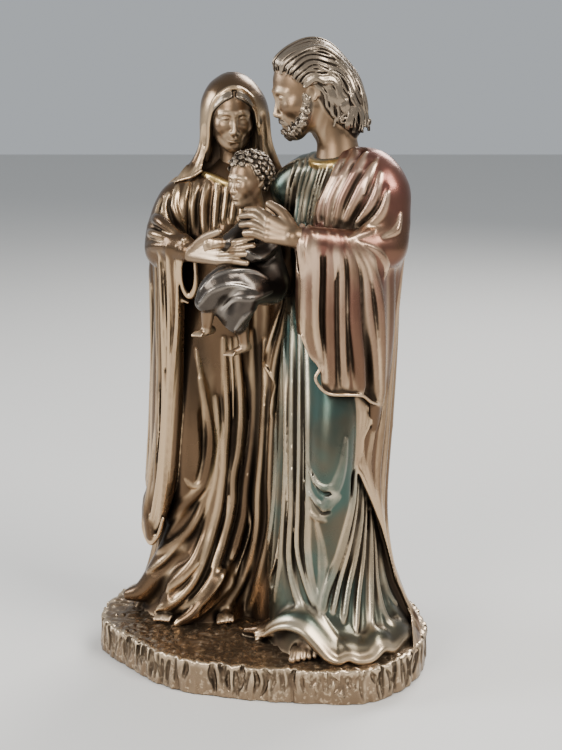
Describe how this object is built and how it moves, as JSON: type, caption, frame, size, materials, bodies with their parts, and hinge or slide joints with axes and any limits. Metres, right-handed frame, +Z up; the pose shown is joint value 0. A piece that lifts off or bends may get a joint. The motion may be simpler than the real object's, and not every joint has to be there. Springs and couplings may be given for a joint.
{
  "type": "holy family figurine",
  "caption": "Cast figurine of a standing mother holding a child and a standing father beside them, in draped robes on a rough oval plinth.",
  "frame": {"origin": "middle of the plinth's flat underside", "axes": "+Z up, -Y towards the side the figures face, +X towards the father"},
  "size_m": [0.1617, 0.1354, 0.2965],
  "materials": {
    "bronze": "cold-cast bronze, dark brown patina with worn golden ridges and tinted robes"
  },
  "bodies": {
    "root": {"holy_family_group": "bronze"}
  },
  "joints": []
}
